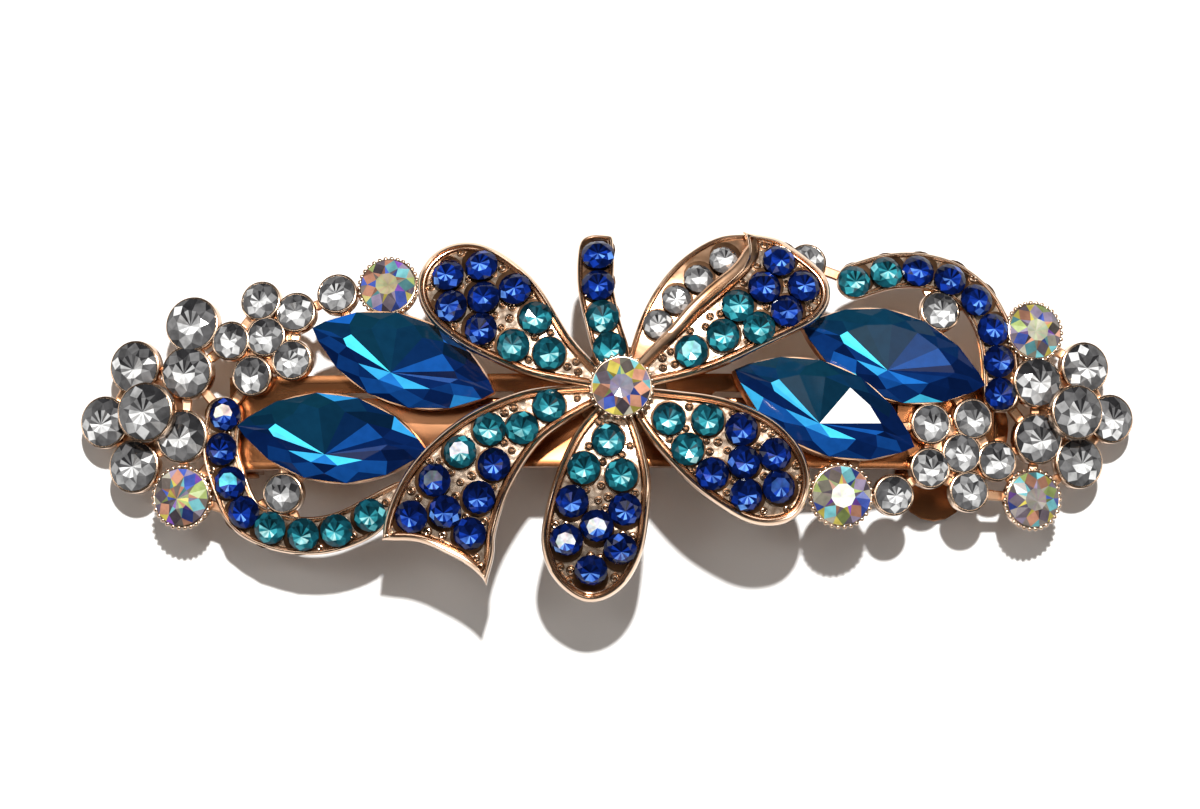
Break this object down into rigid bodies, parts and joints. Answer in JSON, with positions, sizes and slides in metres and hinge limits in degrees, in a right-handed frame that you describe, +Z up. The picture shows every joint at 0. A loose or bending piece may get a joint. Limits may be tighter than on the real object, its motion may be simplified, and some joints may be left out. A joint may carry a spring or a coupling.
{
  "type": "rhinestone hair clip",
  "caption": "French barrette hair clip with a cast rose-gold bow and two sprays of blue, clear and iridescent set stones, a hinged tongue and a squeeze catch.",
  "frame": {"origin": "middle of the bottom of the object's box, on the surface that the clip stands on", "axes": "+X along the clip from its hinge to its catch, +Y across it towards the tips of the upper petals, +Z up through the bow"},
  "size_m": [0.0918, 0.0318, 0.0161],
  "materials": {
    "rose_gold": "polished rose-gold plating over a zinc casting",
    "copper_steel": "copper-brown plated pressed steel",
    "spring_steel": "bright copper-plated spring steel",
    "clear_stone": "clear foiled facets",
    "blue_stone": "royal blue to teal foiled facets",
    "ocean_stone": "deep ocean blue foiled facets",
    "aurora_stone": "iridescent coated facets"
  },
  "bodies": {
    "root": {"base_bar": "copper_steel", "hinge_pin": "spring_steel", "tension_spring": "spring_steel", "catch_base": "copper_steel", "catch_rivet": "spring_steel", "left_spray_casting": "rose_gold", "right_spray_casting": "rose_gold", "bow_casting": "rose_gold", "navette_left_upper": "ocean_stone", "navette_left_lower": "ocean_stone", "navette_right_upper": "ocean_stone", "navette_right_lower": "ocean_stone", "aurora_left_end": "aurora_stone", "aurora_left_top": "aurora_stone", "aurora_hub": "aurora_stone", "aurora_right_top": "aurora_stone", "aurora_right_middle": "aurora_stone", "aurora_right_bottom": "aurora_stone", "clear_left_1": "clear_stone", "clear_left_2": "clear_stone", "clear_left_3": "clear_stone", "clear_left_4": "clear_stone", "clear_left_5": "clear_stone", "clear_left_6": "clear_stone", "clear_left_centre": "clear_stone", "clear_right_1": "clear_stone", "clear_right_2": "clear_stone", "clear_right_3": "clear_stone", "clear_right_4": "clear_stone", "clear_right_5": "clear_stone", "clear_right_centre": "clear_stone", "flower_left_1": "clear_stone", "flower_left_2": "clear_stone", "flower_left_3": "clear_stone", "flower_left_4": "clear_stone", "flower_left_5": "clear_stone", "flower_left_centre": "clear_stone", "flower_right_1": "clear_stone", "flower_right_2": "clear_stone", "flower_right_3": "clear_stone", "flower_right_4": "clear_stone", "flower_right_5": "clear_stone", "flower_right_centre": "clear_stone", "link_left": "clear_stone", "link_right": "clear_stone", "ring_left": "clear_stone", "ring_right": "clear_stone", "behind_petal": "clear_stone", "pave_left_band": "blue_stone", "pave_right_band": "blue_stone", "pave_petal_upper_left": "blue_stone", "pave_petal_stem": "blue_stone", "pave_petal_upper_right": "blue_stone", "pave_petal_lower_right": "blue_stone", "pave_petal_lower": "blue_stone", "pave_petal_lower_left": "blue_stone", "pave_petal_strip": "clear_stone"},
    "tongue": {"tongue_arm": "copper_steel"},
    "jaw_front": {"catch_jaw_front": "copper_steel"},
    "jaw_rear": {"catch_jaw_rear": "copper_steel"}
  },
  "joints": [
    {"name": "tongue_hinge", "type": "hinge", "parent": "root", "child": "tongue", "pos_m": [-0.03119, -0.00021, 0.0019], "axis": [0, 1, 0], "range_deg": [0, 75]},
    {"name": "jaw_front_squeeze", "type": "hinge", "parent": "root", "child": "jaw_front", "pos_m": [0.0288, -0.00391, 0.00419], "axis": [1, 0, 0], "range_deg": [0, 5], "stiffness_Nm_per_rad": 0.05},
    {"name": "jaw_rear_squeeze", "type": "hinge", "parent": "root", "child": "jaw_rear", "pos_m": [0.0288, 0.00349, 0.00419], "axis": [1, 0, 0], "range_deg": [-5, 0], "stiffness_Nm_per_rad": 0.05}
  ],
  "couplings": [
    {"joint": "jaw_rear_squeeze", "follows": "jaw_front_squeeze", "ratio": -1}
  ]
}
